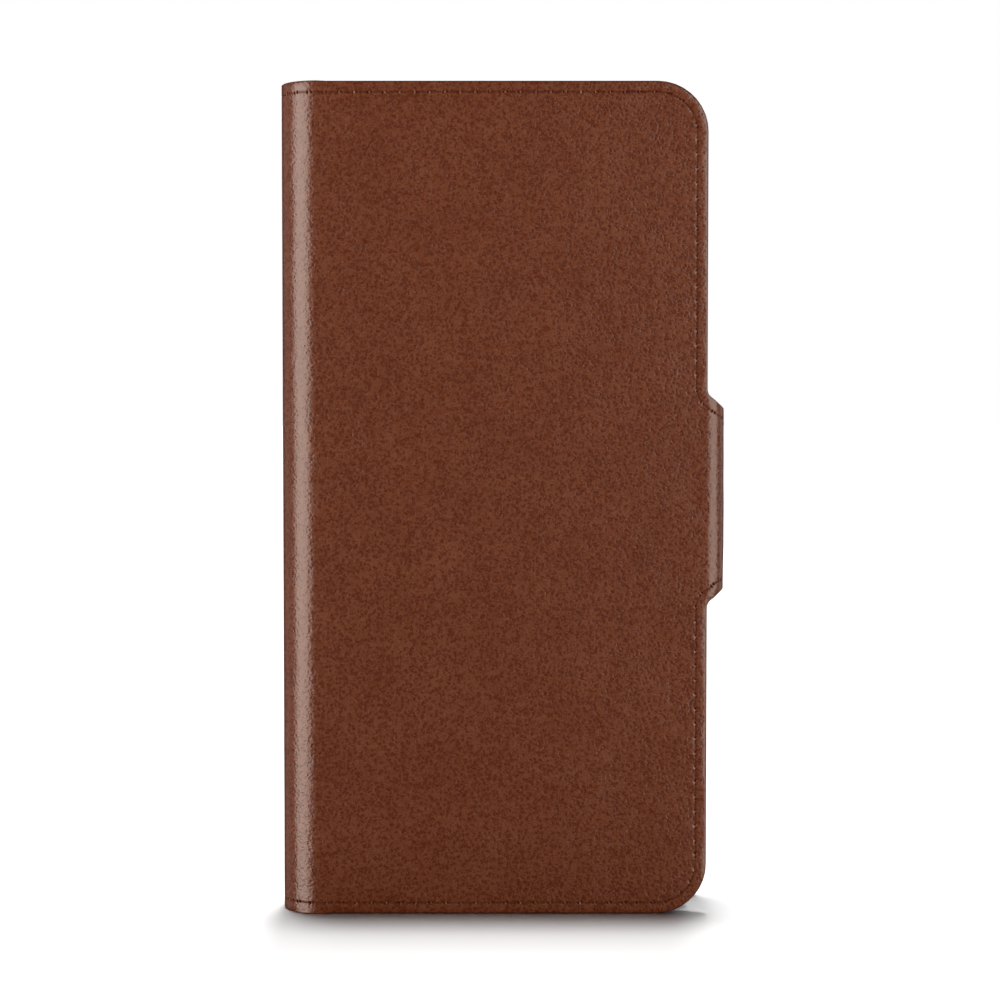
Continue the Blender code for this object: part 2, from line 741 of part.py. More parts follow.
def tab_tip(build):
    """The tab's end on the back of the case, with its stiffener and the magnets set in it."""
    made = {}
    for name, depths, inset in (
        ("leather", (0.0, LEATHER), 0.0), ("lining", TIP_LINING, TAB_LINING_INSET)
    ):
        strip = prism(flat_layer(TIP_START, START["end"] + PAST, depths), *TAB_BLANK, "Z")
        made[name] = build.piece("tab_tip_" + name, strip, "tab_tip", name)
        trim = prism(tip_outline(inset), BACK - PAST, TIP_FACE + PAST, "Y")
        build.combine(made[name], "INTERSECT", "tab_tip", trim)

    low, high = TIP_FACE - TIP_PLATE[1], TIP_FACE - TIP_PLATE[0]
    end, edge = on_girth(START["end"], 0.0).x, SEAM_INSET + 2 * GROOVE_RADIUS
    half = TIP_END_HALF - edge
    outline = rectangle(
        end + edge, TAB_BEND_X - 2 * GLUE, TAB_Z - half, TAB_Z + half, TIP_PLATE_ROUND
    )
    plate = build.piece("tab_tip_plate", prism(outline, low, high, "Y"), "tab_tip", "stiffener")
    for name, up in (("upper", 1), ("lower", -1)):
        x, z = end + MAGNET_FROM_END, TAB_Z + up * MAGNET_SPACING / 2
        build.piece("tab_magnet_" + name, disc(x, z, MAGNET_RADIUS, low, high), "tab_tip", "magnet")
        seat = disc(x, z, MAGNET_RADIUS + MAGNET_CLEARANCE, low - PAST, high + PAST)
        build.combine(plate, "DIFFERENCE", "tab_tip", seat)

    root, half, last = TIP_HALF - SEAM_INSET, TIP_END_HALF - SEAM_INSET, START["end"] - SEAM_INSET
    line = rounded([
        (TIP_START, TAB_Z + root, 0.0), (last, TAB_Z + half, TIP_CORNER - SEAM_INSET),
        (last, TAB_Z - half, TIP_CORNER - SEAM_INSET), (TIP_START, TAB_Z - root, 0.0),
    ])
    build.seam("tab_tip_seam", seam_path(line, SEAM_DEPTH), "tab_tip", made["leather"])


def main():
    for obj in list(bpy.data.objects):
        bpy.data.objects.remove(obj)
    build = Builder()
    back_cover(build)
    phone_tray(build)
    spine(build)
    front_cover(build)
    pockets(build)
    tab_strap(build)
    tab_tip(build)


main()
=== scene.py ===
import math

import bmesh
import bpy
import numpy as np
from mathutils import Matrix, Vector

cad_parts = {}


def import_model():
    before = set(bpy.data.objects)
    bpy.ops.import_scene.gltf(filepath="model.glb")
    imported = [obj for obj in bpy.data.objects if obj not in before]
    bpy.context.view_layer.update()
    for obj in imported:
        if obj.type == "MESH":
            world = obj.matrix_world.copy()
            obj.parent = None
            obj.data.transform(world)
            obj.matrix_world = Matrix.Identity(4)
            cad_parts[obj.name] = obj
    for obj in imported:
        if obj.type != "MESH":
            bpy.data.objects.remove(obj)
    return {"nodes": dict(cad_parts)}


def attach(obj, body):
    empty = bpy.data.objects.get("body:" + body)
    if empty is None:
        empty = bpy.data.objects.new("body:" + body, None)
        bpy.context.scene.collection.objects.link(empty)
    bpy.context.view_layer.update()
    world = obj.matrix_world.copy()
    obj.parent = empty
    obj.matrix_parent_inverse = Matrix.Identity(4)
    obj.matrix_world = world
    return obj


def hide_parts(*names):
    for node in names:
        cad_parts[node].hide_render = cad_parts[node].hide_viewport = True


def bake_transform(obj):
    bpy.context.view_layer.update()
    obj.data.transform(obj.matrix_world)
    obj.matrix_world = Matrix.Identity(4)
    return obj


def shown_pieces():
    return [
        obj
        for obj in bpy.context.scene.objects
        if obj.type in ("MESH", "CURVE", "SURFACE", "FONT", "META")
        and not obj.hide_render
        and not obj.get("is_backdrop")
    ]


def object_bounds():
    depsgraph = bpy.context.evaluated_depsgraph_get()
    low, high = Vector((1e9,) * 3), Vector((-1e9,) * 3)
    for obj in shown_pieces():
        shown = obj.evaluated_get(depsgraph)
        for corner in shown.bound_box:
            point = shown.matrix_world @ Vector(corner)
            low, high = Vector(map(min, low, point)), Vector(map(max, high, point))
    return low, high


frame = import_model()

CAD_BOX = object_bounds()
MM = 0.001
QUARTER = math.pi / 2

# The case's sizes in millimetres, as the CAD part has them. The plan frame has X from the outermost
# line of the spine, Y from the middle of the closed case towards the back, and Z up.
HEIGHT = 166.4
COVER_WIDTH = 85.4
FRONT, BACK = -9.0, 9.0
CORNER_RADIUS = 10.2
SPINE_RADIUS = 7.5
TAB_Z = 83.5
TAB_BEND_X = 85.2
TAB_RADIUS = 3.6
TIP_RADIUS = 3.0
TIP_FACE = 11.5
TIP_LENGTH = 22.0
WINDOW = (54.5, 78.5, 124.5, 158.5)
WINDOW_RADIUS = 5.0
CARD_POCKET_HALF = 46.0

# The girth: the leather's outer line in plan, from the back cover's free edge to the tab's end.
# Each stretch is (length, radius), and each bend is a quarter turn to the left.
STRETCHES = {
    "back_panel": (COVER_WIDTH - SPINE_RADIUS, 0.0),
    "back_fold": (QUARTER * SPINE_RADIUS, SPINE_RADIUS),
    "spine": (BACK - FRONT - 2 * SPINE_RADIUS, 0.0),
    "front_fold": (QUARTER * SPINE_RADIUS, SPINE_RADIUS),
    "front_panel": (TAB_BEND_X - SPINE_RADIUS, 0.0),
    "tab_bend": (QUARTER * TAB_RADIUS, TAB_RADIUS),
    "strap": (TIP_FACE - TIP_RADIUS - FRONT - TAB_RADIUS, 0.0),
    "tip_bend": (QUARTER * TIP_RADIUS, TIP_RADIUS),
    "tip": (TIP_LENGTH, 0.0),
}

# Layers, as depths below the leather's outer face
SKIN = 0.8
EDGE_THICK, EDGE_THIN, EDGE_TIP = 2.0, 0.85, 1.7
PANEL_LINING = (2.1, 2.6)
FOLD_LINING = (0.9, 1.4)
TIP_LINING = (1.8, 2.2)
LINING_INSET = 1.0
TAB_LINING_INSET = 0.6
RIM_WIDTH, TAB_RIM_WIDTH = 3.4, 2.7

# The tab's edge, as half widths at places past the start of its bend, each with its rounding
TAB_ROOT = (0.2, 20.9, 2.0)
TAB_SHOULDER = (3.0, 18.9, 5.0)
TAB_HALVES = (17.9, 16.8, 15.0)
TIP_CORNER = 6.0

# Seams
SEAM_INSET = 2.3
STITCH_PITCH = 2.95
STITCH_HALF = 1.16
THREAD_RADIUS = 0.14

# How deep a stitch's middle lies and how much deeper its ends go, how far it slants, and what the seam
# presses into the leather: a furrow, humps between the stitches, and needle holes (along, across)
STITCH_DIP = 0.125
STITCH_PLUNGE = 0.3
STITCH_SLANT = 0.1
FURROW_DEPTH, FURROW_WIDTH = 0.03, 0.22
HUMP_HEIGHT = 0.02
NEEDLE_DEPTH = 0.2
NEEDLE_SIZE = (0.2, 0.23)
NEEDLE_STAGGER = 0.08

# Wear and painted light: positive where an edge is rubbed pale and where the humps between stitches get a
# painted highlight, negative where the seam's hollows get painted shade and are dull
RUBBED_EDGE = 0.6
PAINTED_HUMP_HIGHLIGHT = 0.6
PAINTED_FURROW_SHADE = 0.35
PAINTED_NEEDLE_SHADE = 0.9
PAINTED_SEAM_WIDTH = 0.25

# The leather's own unevenness, and how far the strap bows out between its edges
RIPPLE = 0.035
RIPPLE_CLEAR, RIPPLE_FULL = 0.8, 6.0
STRAP_BOW = 0.12

# The grid: how far the inner grid stops from the leather's edge, and its spacing
BAND = 3.6
STEP = 0.9
FOLD_STEP = 0.45
FINE = 4
ARC_STEPS = 9
ROLL_STEPS = 10
ROLL_SOFTNESS = 0.5
SEAM_LOOPS = (0.9, 0.62, 0.42, 0.27, 0.13, 0.0, -0.13, -0.27, -0.42, -0.62, -0.85)
STITCH_POINTS = 9
THREAD_SIDES = 8

# The inner faces take their grain from another place of the hide, this far off along the sheet
INNER_SHIFT = (0, 300.0)


# The girth's map ----------------------------------------------------------------------------------

START = {}
TOTAL = 0.0
for name, (length, _) in STRETCHES.items():
    START[name] = TOTAL
    TOTAL += length


def middle(name):
    return START[name] + STRETCHES[name][0] / 2


def on_girth(along, depth):
    """Plan X and Y of places that far along the girth and that deep below the outer face."""
    along, depth = np.broadcast_arrays(np.asarray(along, float), np.asarray(depth, float))
    out = np.zeros(along.shape + (2,))
    point, heading = np.array([COVER_WIDTH, BACK]), np.array([-1.0, 0.0])
    for name, (length, radius) in STRETCHES.items():
        inward = np.array([-heading[1], heading[0]])
        here = along >= START[name] if START[name] else np.full(along.shape, True)
        left = (along - START[name])[..., None]
        deep = depth[..., None]
        if radius:
            turn = left / radius
            outward = heading * np.sin(turn) - inward * np.cos(turn)
            found = point + inward * radius + outward * (radius - deep)
            point, heading = point + (inward + heading) * radius, inward
        else:
            found = point + heading * left + inward * deep
            point = point + heading * length
        out = np.where(here[..., None], found, out)
    return out


def world(plan, z):
    """World points in metres from plan points and heights."""
    lo = CAD_BOX[0]
    x = plan[..., 0] * MM + lo.x
    y = (plan[..., 1] - FRONT) * MM + lo.y
    return np.stack([x, y, np.asarray(z) * MM + lo.z], axis=-1)


def on_sheet(place, depth):
    """World points of places (along, z) on the wrapped leather, that deep below its outer face."""
    return world(on_girth(place[..., 0], depth), place[..., 1])


def on_plane(face, toward):
    """A map like on_sheet for a flat layer whose visible face is at that plan Y and looks along toward."""
    def place_points(place, depth):
        y = np.broadcast_to(face - toward * np.asarray(depth), place.shape[:-1])
        return world(np.stack([place[..., 0], y], axis=-1), place[..., 1])

    return place_points


# Grids: arrays of places (along, z), each a column of the sheet by rows up it ------------------------


def spaced(first, last, step=STEP):
    return np.linspace(first, last, max(1, round(abs(last - first) / step)) + 1)


def columns(first, last):
    """Places along the girth, closer together in the bends."""
    found = [np.array([first])]
    for name, (length, radius) in STRETCHES.items():
        low, high = max(first, START[name]), min(last, START[name] + length)
        if high > low + 1e-6:
            found.append(spaced(low, high, FOLD_STEP if radius else STEP)[1:])
    return np.concatenate(found)


def fill(along, low, high, shares):
    z = low[:, None] + (high - low)[:, None] * shares
    return np.stack([np.broadcast_to(along[:, None], z.shape), z], axis=-1)


def strip(first, last, half_lines, shares, radius, round_first, round_last, places=columns):
    """A strip between two lines of Z, with its corners rounded at the first or last column or both."""
    turn = np.linspace(0, QUARTER, ARC_STEPS + 1)[:-1]
    run, lift = radius * (1 - np.cos(turn)), radius * (1 - np.sin(turn))
    along = places(first + radius * round_first, last - radius * round_last)
    rise = np.zeros(len(along))
    if round_first:
        along, rise = np.concatenate([first + run, along]), np.concatenate([lift, rise])
    if round_last:
        along = np.concatenate([along, last - run[::-1]])
        rise = np.concatenate([rise, lift[::-1]])
    low, high = half_lines(along)
    return fill(along, low + rise, high - rise, shares)


def rounded(corners, step=4.0):
    """Points through corners (u, v, radius), with an arc at each corner, its steps in degrees."""
    points = []
    for index, (u, v, radius) in enumerate(corners):
        here = np.array([u, v])
        if not radius:
            points.append(here)
            continue
        before = np.array(corners[index - 1][:2]) - here
        after = np.array(corners[(index + 1) % len(corners)][:2]) - here
        before, after = before / np.linalg.norm(before), after / np.linalg.norm(after)
        half = math.acos(np.clip(before @ after, -1, 1)) / 2
        middle_line = (before + after) / np.linalg.norm(before + after)
        centre = here + middle_line * radius / math.sin(half)
        side = np.array([before[1], -before[0]])
        side = side * np.sign(side @ (here + before * radius / math.tan(half) - centre))
        turn = math.pi - 2 * half
        for angle in np.linspace(0, turn, max(2, math.ceil(math.degrees(turn) / step)) + 1):
            points.append(centre + radius * (side * math.cos(angle) - before * math.sin(angle)))
    return np.array(points)


def normals_of(points, closed=False):
    """The direction square to a line of points, to the right of its run."""
    ahead = np.roll(points, -1, axis=0) - points
    if not closed:
        ahead[-1] = ahead[-2]
    ahead /= np.linalg.norm(ahead, axis=1)[:, None]
    behind = np.roll(ahead, 1, axis=0)
    if not closed:
        behind[0] = ahead[0]
    line = ahead + behind
    line /= np.linalg.norm(line, axis=1)[:, None]
    return np.stack([line[:, 1], -line[:, 0]], axis=1)


def resampled(points, step):
    """The same line with evenly spaced points."""
    far = np.concatenate([[0], np.cumsum(np.linalg.norm(np.diff(points, axis=0), axis=1))])
    at = spaced(0, far[-1], step)
    return np.stack([np.interp(at, far, points[:, 0]), np.interp(at, far, points[:, 1])], axis=1)


# Where the leather is cut into the pieces that bend with different joints
FRONT_CUT_X = 60.0
SPINE_CUT = middle("spine")
FRONT_CUT = START["front_panel"] + FRONT_CUT_X - SPINE_RADIUS
STRAP_CUT = middle("strap")
CUTS = (SPINE_CUT, FRONT_CUT, STRAP_CUT)
COVER_EDGE = START["front_panel"] + COVER_WIDTH - SPINE_RADIUS
TIP_END = TOTAL


def tab_half(along):
    """Half the tab's width past its shoulder."""
    return np.interp(along, (START["strap"], middle("tip_bend"), TIP_END), TAB_HALVES)


def tab_lines(along):
    half = tab_half(along) - BAND
    return TAB_Z - half, TAB_Z + half


def cover_lines(along):
    """The inner grid's lower and upper lines on the covers and the spine."""
    return np.full(len(along), BAND), np.full(len(along), HEIGHT - BAND)


def tab_root_line():
    """The inner grid's upper line on the tab's root, as (along, half height)."""
    bend = START["tab_bend"]
    far = STRAP_CUT + 8.0
    corners = [
        (bend + TAB_ROOT[0], 3 * TAB_ROOT[1], 0.0),
        (bend + TAB_ROOT[0], *TAB_ROOT[1:]),
        (bend + TAB_SHOULDER[0], *TAB_SHOULDER[1:]),
        (START["strap"], TAB_HALVES[0], 10.0),
        (far, float(tab_half(far)), 0.0),
    ]
    line = rounded(corners)
    inner = line + normals_of(line) * BAND
    inner = inner[inner[:, 0] > bend + TAB_ROOT[0] - BAND + 1e-4]
    first = np.array([[bend + TAB_ROOT[0] - BAND, inner[0, 1] + 0.1]])
    inner = np.concatenate([first, inner[inner[:, 0] < STRAP_CUT - 0.05]])
    last = np.array([[STRAP_CUT, float(tab_half(STRAP_CUT)) - BAND]])
    return resampled(np.concatenate([inner, last]), FOLD_STEP)


ROOT_LINE = tab_root_line()
ROOT_LINE[0, 0], ROOT_LINE[-1, 0] = COVER_EDGE - BAND, STRAP_CUT
INNER_RADIUS = CORNER_RADIUS - BAND
ROW_ENDS = (CORNER_RADIUS, TAB_Z - ROOT_LINE[0, 1], TAB_Z + ROOT_LINE[0, 1], HEIGHT - CORNER_RADIUS)
ROW_PARTS = [spaced(low, high) for low, high in zip(ROW_ENDS, ROW_ENDS[1:])]
ROWS = np.concatenate([ROW_PARTS[0], ROW_PARTS[1][1:], ROW_PARTS[2][1:]])
ROW_SHARES = (ROWS - ROWS[0]) / (ROWS[-1] - ROWS[0])
TAB_ROWS = slice(len(ROW_PARTS[0]) - 1, len(ROW_PARTS[0]) + len(ROW_PARTS[1]) - 1)
TAB_SHARES = (ROW_PARTS[1] - ROW_PARTS[1][0]) / (ROW_PARTS[1][-1] - ROW_PARTS[1][0])


def cover_strip(first, last, round_first=False, round_last=False):
    return strip(first, last, cover_lines, ROW_SHARES, INNER_RADIUS, round_first, round_last)


def tab_root_grids():
    """The right-hand part of the front cover, and the tab's root that runs on from its edge."""
    cover = cover_strip(FRONT_CUT, COVER_EDGE - BAND, round_last=True)
    low, high = TAB_Z - ROOT_LINE[:, 1], TAB_Z + ROOT_LINE[:, 1]
    tab = fill(ROOT_LINE[:, 0], low, high, TAB_SHARES)
    tab[0] = cover[-1, TAB_ROWS]
    return [cover, tab]


# The window in the back cover, as a distance from its edge --------------------------------------------

WINDOW_BAND = 1.3
WINDOW_CENTRE = np.array([COVER_WIDTH - (WINDOW[0] + WINDOW[1]) / 2, (WINDOW[2] + WINDOW[3]) / 2])
WINDOW_HALF = np.array([WINDOW[1] - WINDOW[0], WINDOW[3] - WINDOW[2]]) / 2


def from_window(places):
    """How far places are outside the window's edge."""
    q = np.abs(places - WINDOW_CENTRE) - WINDOW_HALF + WINDOW_RADIUS
    return np.linalg.norm(np.maximum(q, 0), axis=-1) + np.minimum(q.max(axis=-1), 0) - WINDOW_RADIUS


def away_from_window(places):
    """The direction straight out from the window's edge."""
    q = np.abs(places - WINDOW_CENTRE) - WINDOW_HALF + WINDOW_RADIUS
    flat = np.where(q == q.max(axis=-1, keepdims=True), 1.0, 0.0)
    out = np.where((q.min(axis=-1) > 0)[:, None], q, flat)
    return out / np.linalg.norm(out, axis=-1, keepdims=True) * np.sign(places - WINDOW_CENTRE)


# Layers -------------------------------------------------------------------------------------------


def smoothstep(low, high, value):
    t = np.clip((value - low) / (high - low), 0, 1)
    return t * t * (3 - 2 * t)


def between(along, knots):
    """A value along the girth that runs straight from each knot (place, value) to the next."""
    places, values = zip(*knots)
    return np.interp(along, places, values)


def swell(place):
    """How much deeper every layer lies: less than none on the strap, which bows out a little."""
    along, z = place[..., 0], place[..., 1]
    here = smoothstep(START["tab_bend"] + 1, START["strap"] + 1, along)
    here = here * (1 - smoothstep(START["tip_bend"] - 3, START["tip_bend"], along))
    across = np.clip(1 - ((z - TAB_Z) / TAB_HALVES[0]) ** 2, 0, 1)
    return -STRAP_BOW * here * across


def ripple(place):
    """The leather's gentle unevenness, which fades out at the cuts."""
    along, z = place[..., 0], place[..., 1]
    wave = (
        np.sin(0.23 * along + 0.11 * z + 0.7) * np.sin(0.17 * z - 0.09 * along + 2.1)
        + 0.6 * np.sin(0.51 * z + 0.13 * along + 1.3) * np.sin(0.37 * along - 0.21 * z)
    )
    fade = np.ones_like(along)
    for cut in CUTS:
        fade = fade * smoothstep(RIPPLE_CLEAR, RIPPLE_FULL, np.abs(along - cut))
    return RIPPLE * wave * fade


FOLD_IN, FOLD_OUT = START["back_fold"], START["front_panel"]
TAB_IN = START["tab_bend"]


def leather_rim(place):
    """How deep the turned edge goes: over the boards on the covers, thin at the folds and the tab."""
    knots = [
        (0, EDGE_THICK), (FOLD_IN - 1.9, EDGE_THICK), (FOLD_IN - 0.3, EDGE_THIN),
        (FOLD_OUT + 0.3, EDGE_THIN), (FOLD_OUT + 1.9, EDGE_THICK),
        (COVER_EDGE - 0.5, EDGE_THICK), (TAB_IN + 1.6, EDGE_THIN),
        (START["tip_bend"], EDGE_THIN), (START["tip"], EDGE_TIP), (TIP_END, EDGE_TIP),
    ]
    return between(place[..., 0], knots)


def leather_base(place):
    """The leather's inner face away from the rim: the skin, and the rim that crosses the tab's root."""
    rim = COVER_EDGE - RIM_WIDTH
    knots = [
        (0, SKIN), (rim - 0.2, SKIN), (rim, EDGE_THICK),
        (COVER_EDGE - 0.5, EDGE_THICK), (TAB_IN + 0.9, SKIN), (TIP_END, SKIN),
    ]
    return between(place[..., 0], knots)


def lining_face(side):
    """A lining's face nearer to the leather (0) or its free face (1)."""
    knots = [
        (0, PANEL_LINING[side]), (FOLD_IN - 1.5, PANEL_LINING[side]), (FOLD_IN, FOLD_LINING[side]),
        (FOLD_OUT, FOLD_LINING[side]), (FOLD_OUT + 1.5, PANEL_LINING[side]),
        (COVER_EDGE, PANEL_LINING[side]),
    ]
    return lambda place: between(place[..., 0], knots)


def tab_lining_face(side):
    """The same for the tab's lining, which goes over the stiffener at the tip."""
    knots = [
        (TAB_IN, FOLD_LINING[side]), (START["tip_bend"], FOLD_LINING[side]),
        (START["tip"], TIP_LINING[side]), (TIP_END, TIP_LINING[side]),
    ]
    return lambda place: between(place[..., 0], knots)


def flat(value):
    """The same depth everywhere."""
    return lambda place: np.full(place.shape[:-1], float(value))


def needle_hole(stitch, offset):
    """How near places are to a needle hole, which is at each stitch's end.

    Here and below, stitch is how far they are from a stitch's middle along the seam, and offset how
    far they are inside its line."""
    beyond = np.abs(stitch) - STITCH_HALF - 0.02
    across = (offset + NEEDLE_STAGGER * np.sign(stitch)) / NEEDLE_SIZE[1]
    return np.exp(-((beyond / NEEDLE_SIZE[0]) ** 2) - across**2)


def furrow(stitch, offset):
    """How deep the seam's groove is: deep under each stitch, and raised between two."""
    near = np.abs(stitch)
    deep = FURROW_DEPTH * (1 - smoothstep(1.0, 1.3, near)) - HUMP_HEIGHT * smoothstep(1.2, 1.45, near)
    cross = np.exp(-((offset / FURROW_WIDTH) ** 2))
    return deep * cross + NEEDLE_DEPTH * needle_hole(stitch, offset)


def seam_wear(stitch, offset):
    """A painted highlight on the humps between two stitches, on the inner side of the seam, and painted
    shade along its hollows and in its needle holes.
    """
    raised = smoothstep(1.15, 1.4, np.abs(stitch))
    cross = np.exp(-((offset / PAINTED_SEAM_WIDTH) ** 2))
    inner = np.exp(-(((offset - 0.18) / PAINTED_SEAM_WIDTH) ** 2))
    dark = PAINTED_FURROW_SHADE * (1 - raised) * cross
    return PAINTED_HUMP_HIGHLIGHT * raised * inner - dark - PAINTED_NEEDLE_SHADE * needle_hole(stitch, offset)


class Layer:
    """A closed slab on a set of grids: an outer and an inner face, joined by a rolled edge.

    Depths are functions of places. Insets are distances from the sheet's own line of edges, which is
    BAND outside the inner grid. The seam is on the outer face (0) or the inner face (1)."""

    def __init__(self, grids, cuts, outer, base, rim=None, edge=0.0, rim_width=RIM_WIDTH,
                 seam=0, seam_inset=SEAM_INSET, band=BAND, surface=on_sheet, window=False, uneven=True,
                 pitch=STITCH_PITCH):
        self.outer, self.base, self.rim = outer, base, rim or base
        self.edge, self.rim_width, self.band = edge, rim_width, band
        self.seam, self.seam_inset, self.pitch = seam, seam_inset, pitch
        self.surface, self.uneven = surface, uneven
        self.places, self.quads = self.weld(grids)
        if window:
            self.open_window()
        self.cuts = cuts
        self.points, self.sheet, self.wear, self.faces = [], [], [], []
        self.count = 0
        self.seams = []
        self.build()

    def weld(self, grids):
        """One set of places, and quads of their numbers, with the grids joined where they meet."""
        flat_places, quads, base = [], [], 0
        for grid in grids:
            rows, cols = grid.shape[:2]
            index = base + np.arange(rows * cols).reshape(rows, cols)
            quads.append(np.stack(
                [index[:-1, :-1], index[1:, :-1], index[1:, 1:], index[:-1, 1:]], axis=-1
            ).reshape(-1, 4))
            flat_places.append(grid.reshape(-1, 2))
            base += rows * cols
        places, where = np.unique(np.concatenate(flat_places), axis=0, return_inverse=True)
        return places, where.reshape(-1)[np.concatenate(quads)]

    def open_window(self):
        """Leaves out the faces over the window, and moves the points left at its edge to a smooth line."""
        far = from_window(self.places)
        drop = far[self.quads].mean(axis=1) < WINDOW_BAND
        lost, kept = np.unique(self.quads[drop]), np.unique(self.quads[~drop])
        rim = np.intersect1d(lost, kept)
        out = away_from_window(self.places[rim])
        self.places[rim] += out * (WINDOW_BAND - far[rim])[:, None]
        number = np.full(len(self.places), -1)
        number[kept] = np.arange(len(kept))
        self.places, self.quads = self.places[kept], number[self.quads[~drop]]

    def borders(self):
        """Runs of border points with the grid on their left: (indices, closed). Cuts are left out."""
        edges = np.concatenate([self.quads[:, [i, (i + 1) % 4]] for i in range(4)])
        size = len(self.places)
        free = ~np.isin(edges[:, 1] * size + edges[:, 0], edges[:, 0] * size + edges[:, 1])
        along = self.places[:, 0]
        for cut in self.cuts:
            on_cut = np.abs(along - cut) < 1e-9
            free &= ~(on_cut[edges[:, 0]] & on_cut[edges[:, 1]])
        follow = dict(edges[free].tolist())
        starts = sorted(set(follow) - set(follow.values()))
        runs = []
        for first in starts:
            run = [first]
            while run[-1] in follow:
                run.append(follow.pop(run[-1]))
            runs.append((np.array(run), False))
        while follow:
            run = [min(follow)]
            while run[-1] in follow:
                run.append(follow.pop(run[-1]))
            runs.append((np.array(run[:-1]), True))
        return runs

    def add(self, place, depth, sheet=None, wear=0.0):
        """Adds points and gives the index of the first."""
        first = self.count
        self.points.append(self.surface(place, depth + swell(place) * self.uneven))
        where = place if sheet is None else sheet
        self.sheet.append(np.concatenate([where, np.zeros((len(place), 1))], axis=1))
        self.wear.append(np.broadcast_to(wear, len(place)))
        self.count += len(place)
        return first

    def build(self):
        """Both faces, the rims along their free borders, and the flat ends at the cuts."""
        rough = ripple(self.places) if self.uneven else 0.0
        self.top = self.add(self.places, self.outer(self.places) + rough)
        self.under = self.add(self.places, self.base(self.places), self.places + INNER_SHIFT)
        self.faces += (self.quads + self.top).tolist()
        self.faces += (self.quads[:, ::-1] + self.under).tolist()
        for run, closed in self.borders():
            at_window = closed and len(self.cuts) > 0
            self.add_rim(run, closed, at_window)
        for cut in self.cuts:
            column = np.flatnonzero(np.abs(self.places[:, 0] - cut) < 1e-9)
            column = column[np.argsort(self.places[column, 1])]
            for a, b in zip(column, column[1:]):
                self.faces.append([self.top + a, self.top + b, self.under + b, self.under + a])

    def fine_line(self, run, closed):
        """The run's places and outward directions, with FINE steps for each of the grid's."""
        line = self.places[run]
        out = normals_of(line, closed)
        if not closed and self.cuts:
            for end in (0, -1):
                out[end] = (0.0, np.sign(out[end, 1]))
        if closed:
            line, out = np.concatenate([line, line[:1]]), np.concatenate([out, out[:1]])
        whole = np.arange(len(line))
        at = np.linspace(0, len(line) - 1, (len(line) - 1) * FINE + 1)
        line = np.stack([np.interp(at, whole, line[:, i]) for i in (0, 1)], axis=1)
        out = np.stack([np.interp(at, whole, out[:, i]) for i in (0, 1)], axis=1)
        out /= np.linalg.norm(out, axis=1)[:, None]
        return (line[:-1], out[:-1]) if closed else (line, out)

    def lay_seam(self, line, out, closed):
        """Lays whole stitches along a line, and gives how far each point is from its stitch's middle."""
        steps = np.linalg.norm(np.diff(line, axis=0), axis=1)
        far = np.concatenate([[0], np.cumsum(steps)])
        whole = far[-1] + (np.linalg.norm(line[-1] - line[0]) if closed else 0.0)
        count = max(1, round(whole / self.pitch))
        pitch = whole / count
        self.seams.append((line, out, far, pitch, count))
        return ((far / pitch) % 1 - 0.5) * pitch

    def add_rim(self, run, closed, at_window):
        """Loops of points from the outer face's grid, over the seam and the rolled edge, to the inner's."""
        band = WINDOW_BAND if at_window else self.band
        edge = 0.0 if at_window else self.edge
        line, out = self.fine_line(run, closed)

        def at(inset):
            return line + out * (band - inset)[:, None]

        def even(inset):
            return np.full(len(line), float(inset))

        has_seam = not at_window
        stitch = self.lay_seam(at(even(self.seam_inset)), out, closed) if has_seam else None

        def groove(inset, side):
            if not has_seam or self.seam != side:
                return 0.0
            return furrow(stitch, inset - self.seam_inset)

        # Insets of the loops on each face, from the inner grid to the start of the rolled edge
        if at_window:
            face = [1.15]
        else:
            face = [band - 0.3, *(self.seam_inset + offset for offset in SEAM_LOOPS)]
            face = [inset for inset in face if inset < band - 0.1]
        shown = at(even(edge + 0.5))
        top_plain, rim_plain = self.outer(shown), self.rim(shown)
        radius = (rim_plain - top_plain) / 2
        soft = radius * (1.0 if at_window else ROLL_SOFTNESS)
        loops = []
        for inset in face:
            if inset <= edge + soft.max() + 0.02:
                continue
            where = at(even(inset))
            rough = ripple(where) if self.uneven else 0.0
            # Painted highlight on the humps between stitches, painted shade in the furrow and needle holes
            wear = seam_wear(stitch, inset - self.seam_inset) if has_seam else 0.0
            loops.append((where, self.outer(where) + rough + groove(inset, 0), where, wear))
        for turn in np.linspace(0, math.pi, ROLL_STEPS + 1):
            inset = edge + (soft if turn < QUARTER else radius) * (1 - math.sin(turn))
            depth = top_plain + radius * (1 - math.cos(turn))
            rolled = radius * max(turn - QUARTER / 2, 0.0)
            if turn == 0:
                depth = depth + (ripple(at(inset)) if self.uneven else 0.0)
            loops.append((at(inset), depth, at(inset - rolled), RUBBED_EDGE * math.sin(turn) ** 2))
        back = face[::-1] if self.seam == 1 or at_window else [edge + 1.3]
        for inset in back:
            if inset <= edge + radius.max() + 0.02:
                continue
            where = at(even(inset))
            loops.append((where, self.rim(where) - groove(inset, 1), where + INNER_SHIFT, 0.0))
        if self.rim is not self.base and not at_window:
            wide = np.where(line[:, 0] > TAB_IN, TAB_RIM_WIDTH, self.rim_width)
            where = at(wide)
            loops.append((where, self.rim(where), where + INNER_SHIFT, 0.0))
            where = at(wide + 0.05)
            loops.append((where, self.base(where), where + INNER_SHIFT, 0.0))
        firsts = [self.add(*loop) for loop in loops]
        self.join(run, firsts, len(line), closed)

